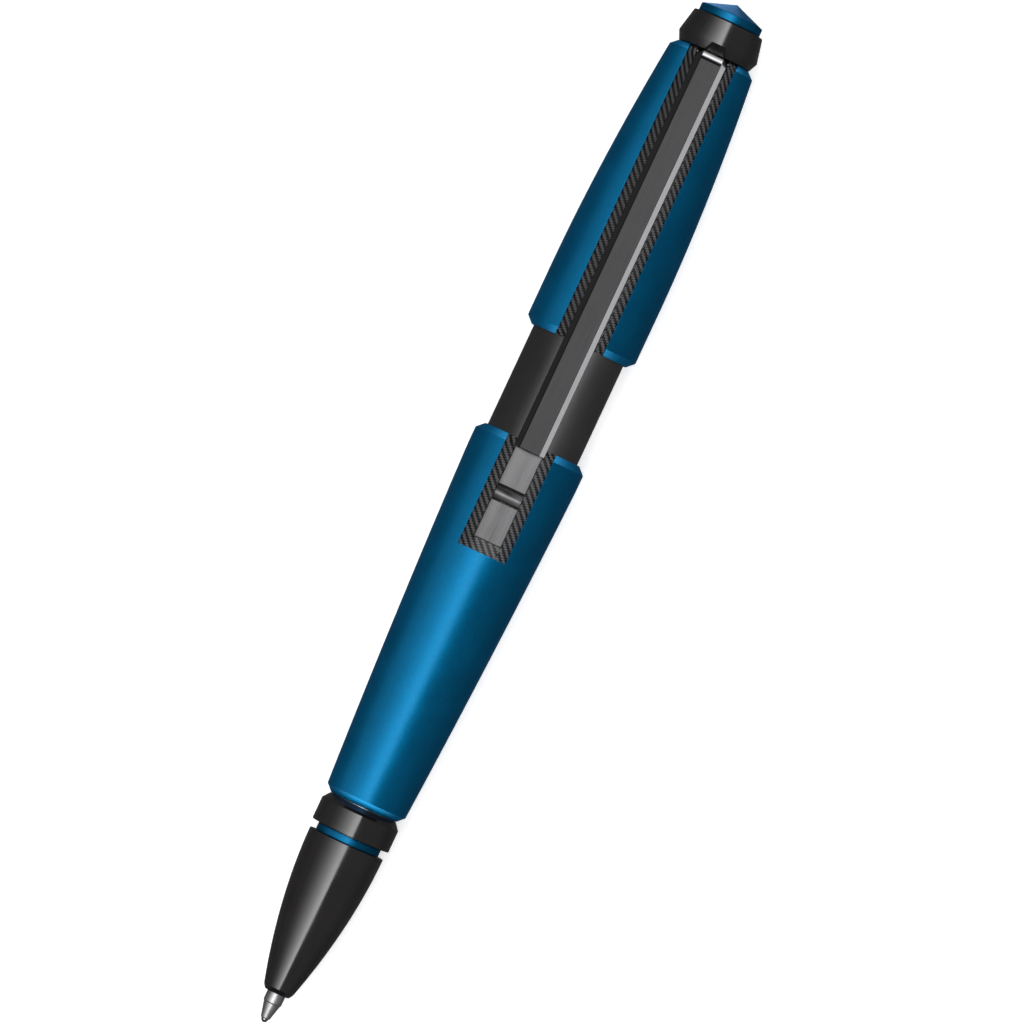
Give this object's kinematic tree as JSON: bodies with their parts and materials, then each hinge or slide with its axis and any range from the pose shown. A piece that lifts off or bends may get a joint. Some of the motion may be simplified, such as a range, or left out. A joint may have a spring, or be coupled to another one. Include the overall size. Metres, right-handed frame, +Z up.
{
  "type": "rollerball pen",
  "caption": "Slide-open rollerball pen: blue metallic halves on a black slide tube, black nose, long metal clip; pulling the halves apart pushes the point out.",
  "frame": {"origin": "on the desk under the middle of the open pen's length", "axes": "+X along the pen towards the crown, +Z up out of the clip's face"},
  "size_m": [0.137, 0.0144, 0.0159],
  "materials": {
    "blue_lacquer": "glossy metallic blue lacquer",
    "black_gloss": "glossy black",
    "black_satin": "satin black moulding",
    "carbon_weave": "woven carbon pattern under clear lacquer",
    "satin_steel": "satin, brushed along the pen",
    "clip_chrome": "dark polished chrome",
    "tip_steel": "turned nickel silver",
    "ball_steel": "polished carbide",
    "gear_plastic": "natural acetal",
    "refill_plastic": "frosted clear",
    "gel_ink": "wet blue gel ink",
    "grease": "clear amber grease",
    "rubber_black": "matt black rubber",
    "spring_wire": "bright spring wire"
  },
  "bodies": {
    "root": {"lower_barrel": "blue_lacquer", "lower_liner": "carbon_weave", "detent_plate": "satin_steel", "slide_tube": "black_satin", "friction_ring": "rubber_black", "barrel_collar": "black_gloss", "thread_insert": "satin_steel", "refill_guide": "black_satin", "gear_frame": "black_satin", "pinion_axle": "spring_wire", "refill_spring": "spring_wire"},
    "upper": {"upper_shell": "blue_lacquer", "upper_liner": "carbon_weave", "top_plug": "black_satin", "crown_collar": "black_gloss", "crown_cone": "blue_lacquer", "crown_screw": "spring_wire", "clip_bracket": "black_satin", "clip_pin": "spring_wire", "clip_spring": "spring_wire", "drive_rack": "gear_plastic"},
    "clip": {"clip_blade": "clip_chrome", "clip_pad": "clip_chrome"},
    "pinion": {"compound_pinion": "gear_plastic"},
    "refill": {"refill_tip": "tip_steel", "refill_tip_holder": "black_satin", "refill_tube": "refill_plastic", "ink_column": "gel_ink", "grease_plug": "grease", "refill_end_plug": "refill_plastic", "refill_carriage": "gear_plastic"},
    "ball": {"tip_ball": "ball_steel"},
    "nose": {"nose_cone": "black_gloss", "accent_ring": "blue_lacquer", "nose_thread_sleeve": "satin_steel"}
  },
  "joints": [
    {"name": "body_slide", "type": "slide", "parent": "root", "child": "upper", "axis": [1, 0, 0], "range_m": [-0.0132, 0]},
    {"name": "clip_flex", "type": "hinge", "parent": "upper", "child": "clip", "pos_m": [0.06025, 0, 0.01069], "axis": [0, 1, 0], "range_deg": [0, 3], "stiffness_Nm_per_rad": 1, "springref_deg": -0.57},
    {"name": "pinion_spin", "type": "hinge", "parent": "root", "child": "pinion", "pos_m": [0.0253, 0, 0.00724], "axis": [0, 1, 0], "range_deg": [0, 217]},
    {"name": "refill_advance", "type": "slide", "parent": "root", "child": "refill", "axis": [1, 0, 0], "range_m": [0, 0.0053], "deforming": ["refill_spring"]},
    {"name": "ball_roll", "type": "hinge", "parent": "refill", "child": "ball", "pos_m": [-0.06805, 0, 0.00724], "axis": [0, 1, 0], "continuous": true},
    {"name": "nose_unscrew", "type": "slide", "parent": "root", "child": "nose", "axis": [-1, 0, 0], "range_m": [0, 0.045]}
  ],
  "couplings": [
    {"joint": "pinion_spin", "follows": "body_slide", "rad_per_m": -285.71},
    {"joint": "refill_advance", "follows": "body_slide", "ratio": -0.4}
  ]
}
